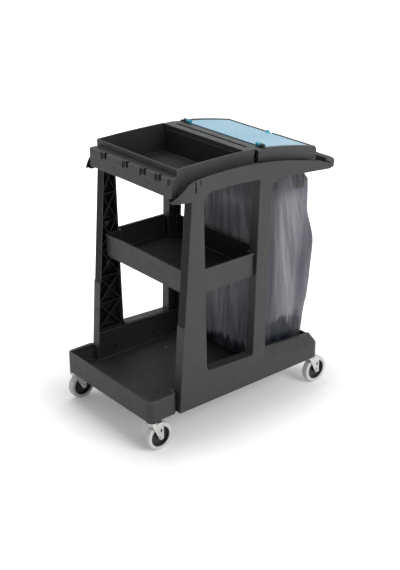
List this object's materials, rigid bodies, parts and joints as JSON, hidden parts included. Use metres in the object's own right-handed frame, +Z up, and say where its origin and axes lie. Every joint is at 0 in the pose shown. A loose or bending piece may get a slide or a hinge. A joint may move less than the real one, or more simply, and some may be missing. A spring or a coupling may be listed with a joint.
{
  "type": "janitor cart",
  "caption": "Four-wheeled janitor cart with open front deck, middle shelf, top tray, hinged lid over a refuse bag, and push handle",
  "frame": {"origin": "floor level, in the middle of the cart's length and width", "axes": "+Z up; +X towards the push handle and bag, -X towards the open front deck; -Y is the near side in the picture"},
  "size_m": [0.922, 0.562, 1.0588],
  "materials": {
    "grey_moulding": "fine matte texture, dark warm grey",
    "pale_moulding": "satin, mid grey",
    "dark_moulding": "matte, near black",
    "blue_cover": "clear, pale blue",
    "bag_film": "thin translucent film, smoky grey, creased",
    "zinc": "bright zinc plate",
    "wheel_plastic": "matte black",
    "tyre_rubber": "pale non-marking rubber, matte"
  },
  "bodies": {
    "cart": {"base_tray": "grey_moulding", "side_panel_near": "grey_moulding", "side_panel_far": "grey_moulding", "middle_shelf": "grey_moulding", "upper_tray": "grey_moulding", "lid_frame": "pale_moulding", "bag_frame": "dark_moulding", "refuse_bag": "bag_film", "bag_clips": "dark_moulding", "push_handle": "grey_moulding", "panel_screws": "zinc", "shelf_screws": "zinc", "tray_screws": "zinc", "frame_screws": "zinc", "handle_screws": "zinc", "lid_hinge_pins": "zinc", "caster_sockets": "dark_moulding", "stem_front_near": "zinc", "stem_front_far": "zinc", "stem_rear_near": "zinc", "stem_rear_far": "zinc"},
    "lid": {"lid_shell": "pale_moulding", "cover_hinge_pins": "dark_moulding"},
    "cover": {"document_cover": "blue_cover"},
    "swivel_front_near": {"fork_front_near": "zinc", "race_front_near": "zinc", "axle_bolt_front_near": "zinc"},
    "wheel_front_near": {"wheel_core_front_near": "wheel_plastic", "tyre_front_near": "tyre_rubber", "axle_bush_front_near": "zinc"},
    "swivel_front_far": {"fork_front_far": "zinc", "race_front_far": "zinc", "axle_bolt_front_far": "zinc"},
    "wheel_front_far": {"wheel_core_front_far": "wheel_plastic", "tyre_front_far": "tyre_rubber", "axle_bush_front_far": "zinc"},
    "swivel_rear_near": {"fork_rear_near": "zinc", "race_rear_near": "zinc", "axle_bolt_rear_near": "zinc"},
    "wheel_rear_near": {"wheel_core_rear_near": "wheel_plastic", "tyre_rear_near": "tyre_rubber", "axle_bush_rear_near": "zinc"},
    "swivel_rear_far": {"fork_rear_far": "zinc", "race_rear_far": "zinc", "axle_bolt_rear_far": "zinc"},
    "wheel_rear_far": {"wheel_core_rear_far": "wheel_plastic", "tyre_rear_far": "tyre_rubber", "axle_bush_rear_far": "zinc"}
  },
  "joints": [
    {"name": "lid_hinge", "type": "hinge", "parent": "cart", "child": "lid", "pos_m": [0.076, 0, 1.038], "axis": [0, -1, 0], "range_deg": [0, 90]},
    {"name": "cover_hinge", "type": "hinge", "parent": "lid", "child": "cover", "pos_m": [0.112, 0, 1.05182], "axis": [0, -1, 0], "range_deg": [0, 90]},
    {"name": "swivel_front_near_turn", "type": "hinge", "parent": "cart", "child": "swivel_front_near", "pos_m": [-0.433, -0.25, 0.12], "axis": [0, 0, 1], "continuous": true},
    {"name": "wheel_front_near_spin", "type": "hinge", "parent": "swivel_front_near", "child": "wheel_front_near", "pos_m": [-0.406, -0.25, 0.055], "axis": [0, 1, 0], "continuous": true},
    {"name": "swivel_front_far_turn", "type": "hinge", "parent": "cart", "child": "swivel_front_far", "pos_m": [-0.433, 0.25, 0.12], "axis": [0, 0, 1], "continuous": true},
    {"name": "wheel_front_far_spin", "type": "hinge", "parent": "swivel_front_far", "child": "wheel_front_far", "pos_m": [-0.406, 0.25, 0.055], "axis": [0, 1, 0], "continuous": true},
    {"name": "swivel_rear_near_turn", "type": "hinge", "parent": "cart", "child": "swivel_rear_near", "pos_m": [0.373, -0.25, 0.12], "axis": [0, 0, 1], "continuous": true},
    {"name": "wheel_rear_near_spin", "type": "hinge", "parent": "swivel_rear_near", "child": "wheel_rear_near", "pos_m": [0.4, -0.25, 0.055], "axis": [0, 1, 0], "continuous": true},
    {"name": "swivel_rear_far_turn", "type": "hinge", "parent": "cart", "child": "swivel_rear_far", "pos_m": [0.373, 0.25, 0.12], "axis": [0, 0, 1], "continuous": true},
    {"name": "wheel_rear_far_spin", "type": "hinge", "parent": "swivel_rear_far", "child": "wheel_rear_far", "pos_m": [0.4, 0.25, 0.055], "axis": [0, 1, 0], "continuous": true}
  ]
}
